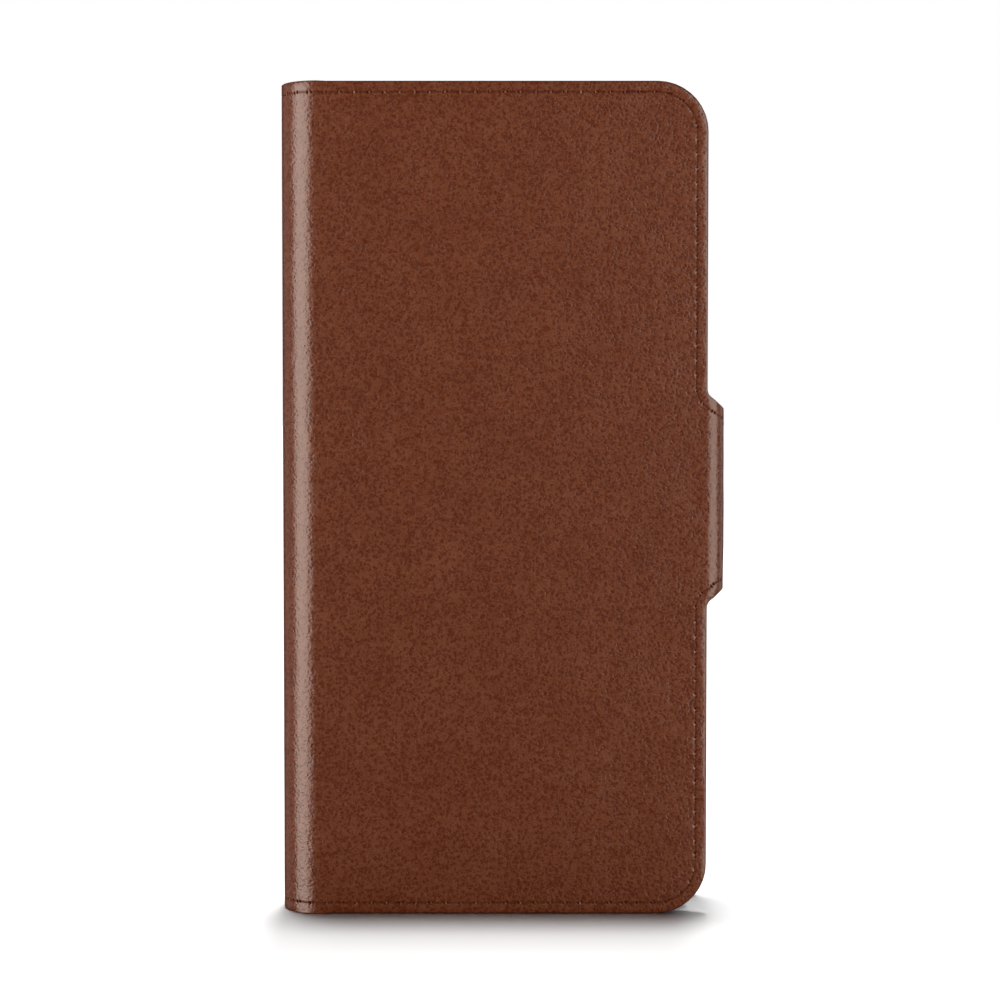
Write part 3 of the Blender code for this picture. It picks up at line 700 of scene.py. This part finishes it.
    def join(self, run, firsts, size, closed):
        """Faces between the loops, and between the first and last of them and the grid's border."""
        fine = np.arange(size)
        nxt = (fine + 1) % size if closed else fine[1:]
        here = fine if closed else fine[:-1]
        for a, b in zip(firsts, firsts[1:]):
            self.faces += np.stack([a + here, a + nxt, b + nxt, b + here], axis=1).tolist()
        last = len(run) if closed else len(run) - 1
        for i in range(last):
            a, b = int(run[i]), int(run[(i + 1) % len(run)])
            ring = [(i * FINE + k) % size for k in range(FINE, -1, -1)]
            self.faces.append([self.top + a, self.top + b] + [firsts[0] + k for k in ring])
            self.faces.append([self.under + b, self.under + a] + [firsts[-1] + k for k in ring[::-1]])
        if not closed:
            for grid_end, fine_end in ((int(run[0]), 0), (int(run[-1]), size - 1)):
                cap = [self.top + grid_end, *(first + fine_end for first in firsts)]
                self.faces.append(cap + [self.under + grid_end])

    def make(self, name, finish):
        mesh = bpy.data.meshes.new(name)
        mesh.from_pydata(np.concatenate(self.points), [], self.faces)
        return finished(name, mesh, finish, np.concatenate(self.sheet), np.concatenate(self.wear))

    def stitches(self, name, finish, side=0):
        """Threads of the seams, each dipping into the sheet at both ends."""
        points, places, faces = [], [], []
        along = np.linspace(-STITCH_HALF, STITCH_HALF, STITCH_POINTS)
        turns = np.arange(THREAD_SIDES) / THREAD_SIDES * 2 * math.pi
        taper = np.sqrt(np.clip(1 - (np.abs(along) / (STITCH_HALF * 1.05)) ** 6, 0, 1))
        dip = STITCH_DIP + STITCH_PLUNGE * (np.abs(along) / STITCH_HALF) ** 4
        slant = STITCH_SLANT * along / STITCH_HALF
        ring_r = THREAD_RADIUS * taper
        sign = 1 if side == 0 else -1
        face = self.outer if side == 0 else self.rim
        for line, out, far, pitch, count in self.seams:
            for number in range(count):
                at = (number + 0.5) * pitch + along
                seat = np.stack([np.interp(at, far, line[:, i]) for i in (0, 1)], axis=1)
                across = np.stack([np.interp(at, far, out[:, i]) for i in (0, 1)], axis=1)
                shift = slant[:, None] + ring_r[:, None] * np.cos(turns)
                place = seat[:, None] + across[:, None] * shift[..., None]
                deep = face(place) + sign * (dip[:, None] + ring_r[:, None] * np.sin(turns))
                first = sum(len(p) for p in points)
                place = place.reshape(-1, 2)
                points.append(self.surface(place, deep.reshape(-1) + swell(place) * self.uneven))
                spun = np.stack(np.broadcast_arrays(
                    number * 3.7 + along[:, None], turns / 3 + along[:, None] * 2.2, 0.0
                ), axis=-1)
                places.append(spun.reshape(-1, 3))
                index = first + np.arange(STITCH_POINTS * THREAD_SIDES).reshape(STITCH_POINTS, -1)
                turned = np.roll(index, -1, axis=1)
                sides = np.stack([index[:-1], turned[:-1], turned[1:], index[1:]], axis=-1)
                faces += sides.reshape(-1, 4).tolist()
                faces += [index[0].tolist(), index[-1, ::-1].tolist()]
        mesh = bpy.data.meshes.new(name)
        mesh.from_pydata(np.concatenate(points), [], faces)
        return finished(name, mesh, finish, np.concatenate(places), None)


def finished(name, mesh, finish, sheet, wear):
    """An object from a closed mesh: faces turned outward, smooth, with its attributes and material."""
    work = bmesh.new()
    work.from_mesh(mesh)
    bmesh.ops.recalc_face_normals(work, faces=work.faces)
    work.to_mesh(mesh)
    work.free()
    mesh.shade_smooth()
    mesh.set_sharp_from_angle(angle=math.radians(50))
    place = mesh.attributes.new("sheet", "FLOAT_VECTOR", "POINT")
    place.data.foreach_set("vector", sheet.astype(np.float32).ravel())
    # The attribute holds wear on the rolled edges and painted light along the seams: highlight on the
    # humps, shade in the hollows
    if wear is not None:
        rub_and_seam_light = mesh.attributes.new("wear", "FLOAT", "POINT")
        rub_and_seam_light.data.foreach_set("value", wear.astype(np.float32))
    mesh.materials.append(finish)
    obj = bpy.data.objects.new(name, mesh)
    bpy.context.scene.collection.objects.link(obj)
    return obj


# Materials -------------------------------------------------------------------------------------------


class Nodes:
    """Short calls that add shader nodes to a material and link them."""

    def __init__(self, name):
        self.material = bpy.data.materials.new(name)
        self.material.use_nodes = True
        self.tree = self.material.node_tree
        self.shader = self.tree.nodes["Principled BSDF"]

    def put(self, socket, value):
        if isinstance(value, bpy.types.NodeSocket):
            self.tree.links.new(value, socket)
        elif socket.type == "RGBA" and len(value) == 3:
            socket.default_value = (*value, 1.0)
        else:
            socket.default_value = value

    def add(self, kind, inputs=(), output=0, **settings):
        node = self.tree.nodes.new("ShaderNode" + kind)
        for key, value in settings.items():
            setattr(node, key, value)
        for key, value in dict(inputs).items():
            self.put(node.inputs[key], value)
        return node.outputs[output]

    def attribute(self, name, output="Vector"):
        return self.add("Attribute", output=output, attribute_name=name)

    def math(self, operation, *values):
        return self.add("Math", dict(enumerate(values)), operation=operation)

    def noise(self, place, scale, detail=2.0, output=0, rough=0.5):
        inputs = {"Vector": place, "Scale": scale, "Detail": detail, "Roughness": rough}
        return self.add("TexNoise", inputs, output)

    def cells(self, place, scale, feature="F1", output="Distance"):
        inputs = {"Vector": place, "Scale": scale}
        return self.add("TexVoronoi", inputs, output, feature=feature)

    def ramp(self, value, low, high, to_low=0.0, to_high=1.0, smooth=True):
        inputs = {"Value": value, 1: low, 2: high, 3: to_low, 4: to_high}
        kind = "SMOOTHSTEP" if smooth else "LINEAR"
        return self.add("MapRange", inputs, interpolation_type=kind)

    def mix(self, share, first, second):
        node = self.tree.nodes.new("ShaderNodeMix")
        node.data_type = "RGBA"
        for key, value in ((0, share), (6, first), (7, second)):
            self.put(node.inputs[key], value)
        return node.outputs[2]

    def warped(self, place, scale, amount):
        """The place moved about by a noise, by up to about half the amount."""
        shift = self.noise(place, scale, output="Color")
        shift = self.add("VectorMath", {0: shift, 1: (0.5, 0.5, 0.5)}, operation="SUBTRACT")
        shift = self.add("VectorMath", {0: shift, "Scale": amount}, operation="SCALE")
        return self.add("VectorMath", {0: place, 1: shift}, operation="ADD")

    def bump(self, height, distance, strength=1.0, under=None):
        inputs = {"Height": height, "Distance": distance * MM, "Strength": strength}
        if under is not None:
            inputs["Normal"] = under
        return self.add("Bump", inputs)

    def finish(self, colour, roughness, normal=None, **more):
        self.put(self.shader.inputs["Base Color"], colour)
        self.put(self.shader.inputs["Roughness"], roughness)
        if normal is not None:
            self.put(self.shader.inputs["Normal"], normal)
        for key, value in more.items():
            self.put(self.shader.inputs[key.replace("_", " ")], value)
        return self.material


# The leather's colours, linear: its hollows, most of it, its pale network with rubbed edges and the painted
# highlight on the seam's humps, and the painted shade of the seam's furrow and needle holes
LEATHER_DARK = (0.0500, 0.0074, 0.0007)
LEATHER_BASE = (0.0665, 0.0130, 0.0032)
LEATHER_LIGHT = (0.0850, 0.0226, 0.0082)
PAINTED_SEAM_SHADE = (0.016, 0.0033, 0.0012)


def leather(name, dark, base, light, grain=1.0):
    """Pebbled leather: a fine pale network round dark pores, patches and creases.

    It is lighter where it is rubbed and where the seam's humps get a painted highlight, and it has painted
    shade and no gloss in the seam's hollows."""
    n = Nodes(name)
    place = n.attribute("sheet")
    bent = n.warped(place, 1.1, 0.8)
    small = n.noise(bent, 2.7, 2.0)
    pores = n.ramp(n.cells(n.warped(place, 0.9, 0.7), 1.3 * grain, "F1"), 0.10, 0.66)
    pebble = n.ramp(n.cells(bent, 1.25 * grain, "DISTANCE_TO_EDGE"), 0.0, 0.30)
    crease = n.noise(n.warped(place, 0.25, 3.0), 0.5, 4.0, rough=0.6)
    ridge = n.ramp(n.math("ABSOLUTE", n.math("SUBTRACT", crease, 0.5)), 0.0, 0.045)
    broad = n.noise(place, 0.09, 3.0)
    patch = n.noise(place, 0.6, 3.0)
    rub_and_seam_light = n.attribute("wear", "Fac")

    tone = n.math("ADD", n.math("MULTIPLY", pores, 0.5), n.math("MULTIPLY", small, 0.72))
    tone = n.math("ADD", tone, n.math("MULTIPLY", patch, 0.25))
    tone = n.math("ADD", tone, n.math("MULTIPLY", broad, 0.30))
    tone = n.math("ADD", tone, n.math("MULTIPLY", ridge, -0.09))
    colour = n.mix(n.ramp(tone, 0.68, 0.98), dark, base)
    colour = n.mix(n.ramp(tone, 0.90, 1.25), colour, light)
    # Paler on rubbed edges, and a painted highlight on the humps between stitches
    colour = n.mix(n.ramp(rub_and_seam_light, 0.0, 1.0, 0.0, 0.5, False), colour, light)
    # Painted shade in the seam's furrow and needle holes
    colour = n.mix(n.ramp(rub_and_seam_light, 0.0, -1.0, 0.0, 0.9, False), colour, PAINTED_SEAM_SHADE)

    height = n.math("ADD", n.math("MULTIPLY", pores, 0.8), n.math("MULTIPLY", small, 0.5))
    height = n.math("ADD", height, n.math("MULTIPLY", pebble, -0.2))
    height = n.math("ADD", height, n.math("MULTIPLY", ridge, -0.2))
    normal = n.bump(n.noise(place, 0.22, 2.0), 0.12)
    normal = n.bump(height, 0.036, 1.0, normal)
    rough = n.ramp(n.math("ADD", small, n.math("MULTIPLY", patch, 0.5)), 0.4, 1.1, 0.24, 0.34)
    shine = n.ramp(rub_and_seam_light, 0.0, -0.5, 0.5, 0.0, False)
    return n.finish(colour, rough, normal, Specular_IOR_Level=shine, Specular_Tint=(1.0, 0.88, 0.78, 1.0))


def fabric(name, dark, light, pitch=2.2):
    """Brushed microfibre over a fine weave."""
    n = Nodes(name)
    place = n.attribute("sheet")
    nap = n.noise(place, 3.5, 4.0, rough=0.7)
    broad = n.noise(place, 0.12, 3.0)
    weave = n.add("TexWave", {"Vector": place, "Scale": pitch, "Distortion": 1.5}, "Fac")
    tone = n.math("ADD", n.math("MULTIPLY", nap, 0.8), n.math("MULTIPLY", broad, 0.25))
    colour = n.mix(n.ramp(tone, 0.35, 0.75), dark, light)
    height = n.math("ADD", nap, n.math("MULTIPLY", weave, 0.25))
    return n.finish(
        colour, n.ramp(nap, 0.3, 0.7, 0.8, 0.95), n.bump(height, 0.05),
        Sheen_Weight=0.15, Sheen_Roughness=0.4, Specular_IOR_Level=0.2,
    )


def thread(name, dark, light):
    """Twisted thread: slanting strands along each stitch."""
    n = Nodes(name)
    place = n.attribute("sheet")
    strands = n.add("TexWave", {"Vector": place, "Scale": 1.6, "Distortion": 0.4}, "Fac",
                    bands_direction="Y")
    fuzz = n.noise(place, 6.0, 3.0)
    tone = n.math("ADD", n.math("MULTIPLY", strands, 0.6), n.math("MULTIPLY", fuzz, 0.4))
    normal = n.bump(tone, 0.05)
    return n.finish(n.mix(tone, dark, light), n.ramp(fuzz, 0.3, 0.7, 0.6, 0.75), normal,
                    Specular_IOR_Level=0.08)


def moulded(name, dark, light, texture=1.6, roughness=0.42, **more):
    """Moulded plastic, painted board or metal with a fine even texture, placed by object coordinates."""
    n = Nodes(name)
    place = n.add("TexCoord", output="Object")
    place = n.add("VectorMath", {0: place, "Scale": 1 / MM}, operation="SCALE")
    fine = n.noise(place, texture * 2.5, 3.0)
    broad = n.noise(place, 0.1, 3.0)
    colour = n.mix(n.ramp(n.math("ADD", n.math("MULTIPLY", fine, 0.65),
                                 n.math("MULTIPLY", broad, 0.35)), 0.3, 0.7), dark, light)
    rough = n.ramp(n.noise(place, 0.6, 3.0), 0.3, 0.7, roughness - 0.03, roughness + 0.04)
    return n.finish(colour, rough, n.bump(fine, 0.02, 0.6), **more)


LEATHER = leather("leather_grain", LEATHER_DARK, LEATHER_BASE, LEATHER_LIGHT)
POCKET_LEATHER = leather("pocket_leather_grain", (0.07, 0.018, 0.008), (0.10, 0.027, 0.012),
                         LEATHER_LIGHT, 1.15)
LINING = fabric("lining_microfibre", (0.040, 0.0125, 0.0065), (0.085, 0.029, 0.016))
# The thread is darker than the leather: partly its own colour, partly painted shade of the seam's furrow
THREAD = thread("sewing_thread", (0.036, 0.0080, 0.0022), (0.064, 0.0135, 0.0038))
PLAIN = {
    "phone_tray": moulded("tray_moulding", (0.012, 0.011, 0.0105), (0.022, 0.020, 0.019)),
    "tray_adhesive": moulded("adhesive_foam", (0.50, 0.50, 0.48), (0.66, 0.66, 0.64), 0.8, 0.6),
    "front_cover_board": moulded("grey_board", (0.28, 0.24, 0.19), (0.40, 0.35, 0.28), 0.5, 0.85),
    "keeper_plate": moulded("rolled_steel", (0.50, 0.50, 0.51), (0.62, 0.62, 0.63), 0.8, 0.33,
                            Metallic=1.0),
    "tab_magnet_upper": moulded("plated_magnet", (0.42, 0.42, 0.44), (0.55, 0.55, 0.57), 0.8, 0.25,
                                Metallic=1.0),
    "tab_tip_plate": moulded("tab_stiffener", (0.022, 0.022, 0.022), (0.04, 0.04, 0.04), 0.8, 0.6),
}
PLAIN["back_cover_board"] = PLAIN["front_cover_board"]
PLAIN["tab_magnet_lower"] = PLAIN["tab_magnet_upper"]


# Pieces -------------------------------------------------------------------------------------------


def settle(obj, bodies, nodes=()):
    """Gives a piece its body, or, for a piece given the two bodies it bends between, only fixes it in place
    with no body. Hides the nodes it stands for.
    """
    if isinstance(bodies, str):
        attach(obj, bodies)
    else:
        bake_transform(obj)
    if nodes:
        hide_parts(*nodes)
    return obj


def add_leather():
    """The wrapped leather in its four parts, with the stitches that show on its outer face."""
    parts = {
        "back": (
            [cover_strip(BAND, SPINE_CUT, round_first=True)], (SPINE_CUT,), ("back_cover", "spine"),
            ("back_cover_leather", "spine_leather"), ("back_seam", "spine_seam_upper"), True,
        ),
        "front": (
            [cover_strip(SPINE_CUT, FRONT_CUT)], (SPINE_CUT, FRONT_CUT), ("spine", "front_cover"),
            ("front_cover_leather",), ("front_seam_upper", "spine_seam_lower"), False,
        ),
        "tab_root": (
            tab_root_grids(), (FRONT_CUT, STRAP_CUT), ("front_cover", "tab_strap"),
            ("tab_strap_leather",), ("front_seam_lower", "tab_strap_seam_upper"), False,
        ),
        "tab_tip": (
            [strip(STRAP_CUT, TIP_END - BAND, tab_lines, TAB_SHARES, TIP_CORNER - BAND, False, True)],
            (STRAP_CUT,), ("tab_strap", "tab_tip"),
            ("tab_tip_leather",), ("tab_tip_seam", "tab_strap_seam_lower"), False,
        ),
    }
    for name, (grids, cuts, bodies, nodes, seams, window) in parts.items():
        layer = Layer(grids, cuts, flat(0), leather_base, leather_rim, window=window)
        settle(layer.make("leather_" + name, LEATHER), bodies, nodes)
        settle(layer.stitches("stitches_" + name, THREAD), bodies, seams)


def add_linings():
    """The linings, with the inner side of the seams."""
    start = TAB_IN + 0.9
    parts = {
        "back": (
            [cover_strip(BAND, SPINE_CUT, round_first=True)], (SPINE_CUT,), ("back_cover", "spine"),
            lining_face, LINING_INSET, ("back_cover_lining", "spine_lining"), True,
        ),
        "front": (
            [cover_strip(SPINE_CUT, COVER_EDGE - BAND, round_last=True)], (SPINE_CUT,),
            ("spine", "front_cover"), lining_face, LINING_INSET, ("front_cover_lining",), False,
        ),
        "tab_strap": (
            [strip(start + 3.0, STRAP_CUT, tab_lines, TAB_SHARES, 0.5, True, False)], (STRAP_CUT,),
            ("front_cover", "tab_strap"), tab_lining_face, TAB_LINING_INSET,
            ("tab_strap_lining",), False,
        ),
        "tab_tip": (
            [strip(STRAP_CUT, TIP_END - BAND, tab_lines, TAB_SHARES, TIP_CORNER - BAND, False, True)],
            (STRAP_CUT,), ("tab_strap", "tab_tip"), tab_lining_face, TAB_LINING_INSET,
            ("tab_tip_lining",), False,
        ),
    }
    for name, (grids, cuts, bodies, face, inset, nodes, window) in parts.items():
        layer = Layer(grids, cuts, face(0), face(1), edge=inset, seam=1, window=window)
        settle(layer.make("lining_" + name, LINING), bodies, nodes)
        settle(layer.stitches("inner_stitches_" + name, THREAD, side=1), bodies)


def add_pockets():
    """The note pocket and the three card pockets: sheets with turned edges, sewn near their edges."""
    low, high = TAB_Z - CARD_POCKET_HALF, TAB_Z + CARD_POCKET_HALF
    # Each pocket's sides in X and Z, and the Y of its visible face, in the plan frame
    rows = {
        "note_pocket": ((11.0, 82.4, 4.0, HEIGHT - 4.0), -5.5),
        "card_pocket_rear": ((20.0, 80.4, low, high), -4.6),
        "card_pocket_middle": ((30.0, 80.4, low, high), -3.7),
        "card_pocket_front": ((40.0, 80.4, low, high), -2.8),
    }
    band, radius = 2.4, 0.6
    for name, ((x0, x1, z0, z1), face) in rows.items():
        def lines(along, z0=z0, z1=z1):
            return np.full(len(along), z0 + band), np.full(len(along), z1 - band)

        def underside(place, x0=x0):
            """Thin at the mouth, where cards go in, and down to the layer below at the other edges."""
            return np.where(place[..., 0] < x0 + 1.5, 0.5, 0.78)

        shares = spaced(0, 1, STEP / (z1 - z0))
        grid = strip(x0 + band, x1 - band, lines, shares, radius, True, True, places=spaced)
        layer = Layer(
            [grid], (), flat(0), flat(0.5), underside, band=band, seam_inset=1.1, rim_width=2.0,
            surface=on_plane(face, 1), uneven=False, pitch=2.8,
        )
        piece = layer.make(name + "_sheet", POCKET_LEATHER)
        settle(piece, "front_cover", (name,))
        threads = layer.stitches(name + "_stitches", THREAD)
        nodes = ("pocket_seam",) if name == "card_pocket_front" else ()
        settle(threads, "front_cover", nodes)


add_leather()
add_linings()
add_pockets()
for name, material in PLAIN.items():
    data = frame["nodes"][name].data
    data.materials.clear()
    data.materials.append(material)


# Camera, floor and light ------------------------------------------------------------------------------


LENS = 75.85
SENSOR = 36.0
CAMERA_TARGET = (-0.00044, CAD_BOX[0].y, 0.08326)
CAMERA_PITCH = 2.2
CAMERA_DISTANCE = 0.42
FLOOR_SIZE = 60.0
WORLD_LIGHT = 0.03
MIDDLE = (0, 0, 0.083)


def aim(obj, target):
    """Turns a camera or a light to look at a place."""
    obj.rotation_euler = (Vector(target) - obj.location).to_track_quat("-Z", "Y").to_euler()


def add_camera():
    data = bpy.data.cameras.new("camera")
    data.lens, data.sensor_width = LENS, SENSOR
    camera = bpy.data.objects.new("camera", data)
    bpy.context.scene.collection.objects.link(camera)
    target = Vector(CAMERA_TARGET)
    pitch = math.radians(CAMERA_PITCH)
    camera.location = target + Vector((0, -math.cos(pitch), math.sin(pitch))) * CAMERA_DISTANCE
    aim(camera, target)
    bpy.context.scene.camera = camera


def add_light(name, data, place, target, lit, glossy=True):
    """A light that falls only on the objects of one collection."""
    light = bpy.data.objects.new(name, data)
    light.location = place
    light.visible_glossy = glossy
    bpy.context.scene.collection.objects.link(light)
    aim(light, target)
    light.light_linking.receiver_collection = lit


def add_softbox(name, azimuth, distance, height, size, brightness, glossy=True):
    """A softbox that lights the case. The brightness is that of its face, whatever its size."""
    data = bpy.data.lights.new(name, "AREA")
    data.shape = "RECTANGLE"
    data.size, data.size_y = size
    data.energy = brightness * math.pi * size[0] * size[1]
    add_light(name, data, around(azimuth, distance, height), MIDDLE, LIT_CASE, glossy)


def add_sun(name, direction, width, strength):
    """A distant light on the floor alone, that many degrees wide."""
    data = bpy.data.lights.new(name, "SUN")
    data.angle = math.radians(width)
    data.energy = strength
    add_light(name, data, direction, (0, 0, 0), LIT_GROUND)


def add_floor():
    bpy.ops.mesh.primitive_plane_add(size=FLOOR_SIZE, location=(0, 0, CAD_BOX[0].z))
    floor = bpy.context.object
    floor.name = "floor"
    n = Nodes("floor")
    place = n.add("TexCoord", output="Object")
    shade = n.mix(n.noise(place, 3.0), (0.90, 0.90, 0.90), (0.93, 0.93, 0.93))
    floor.data.materials.append(n.finish(shade, 0.9, Specular_IOR_Level=0.0))
    floor.visible_glossy = False
    floor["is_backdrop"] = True


def add_world():
    """White where the camera sees it, dim and even in the light that falls on things."""
    world_data = bpy.data.worlds.new("studio")
    world_data.use_nodes = True
    tree = world_data.node_tree
    path = tree.nodes.new("ShaderNodeLightPath")
    level = tree.nodes.new("ShaderNodeMapRange")
    level.inputs["To Min"].default_value = WORLD_LIGHT
    level.inputs["To Max"].default_value = 1.0
    tree.links.new(path.outputs["Is Camera Ray"], level.inputs["Value"])
    background = tree.nodes["Background"]
    background.inputs["Color"].default_value = (1, 1, 1, 1)
    tree.links.new(level.outputs[0], background.inputs["Strength"])
    bpy.context.scene.world = world_data


def around(azimuth, distance, height):
    """A place round the case. Azimuth 0 is in front of it, and 90 to the right."""
    turn = math.radians(azimuth)
    return distance * math.sin(turn), -distance * math.cos(turn), height


add_camera()
add_floor()
add_world()

LIT_CASE = bpy.data.collections.new("lit_case")
LIT_GROUND = bpy.data.collections.new("lit_ground")
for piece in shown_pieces():
    LIT_CASE.objects.link(piece)
LIT_GROUND.objects.link(bpy.data.objects["floor"])

# Two suns nearly overhead give the floor its white, and the soft shadow in front of the case. The low
# one behind the case lights the floor at both sides of it.
add_sun("high_sun", (0, 0.056, 1.0), 6.8, 1.7)
add_sun("back_sun", (0, 0.108, 1.0), 11.5, 1.7)
add_sun("low_back_sun", (0.10, 1.0, 0.21), 20.0, 5.0)

add_softbox("left_softbox", -55, 1.0, 0.20, (0.90, 1.2), 7.0)
add_softbox("right_softbox", 48, 1.0, 0.20, (1.00, 1.2), 4.6)
add_softbox("front_fill", 0, 1.2, 0.20, (1.6, 1.0), 0.25, glossy=False)
add_softbox("back_fill", 180, 1.2, 0.55, (1.6, 1.0), 1.5, glossy=False)
add_softbox("rear_left_softbox", -115, 1.0, 0.20, (0.7, 1.2), 0.4)
add_softbox("rear_right_softbox", 115, 1.0, 0.20, (0.7, 1.2), 0.8)
add_softbox("left_fill", -95, 1.0, 0.20, (0.8, 1.2), 1.6, glossy=False)
bpy.context.scene.view_settings.view_transform = "Standard"
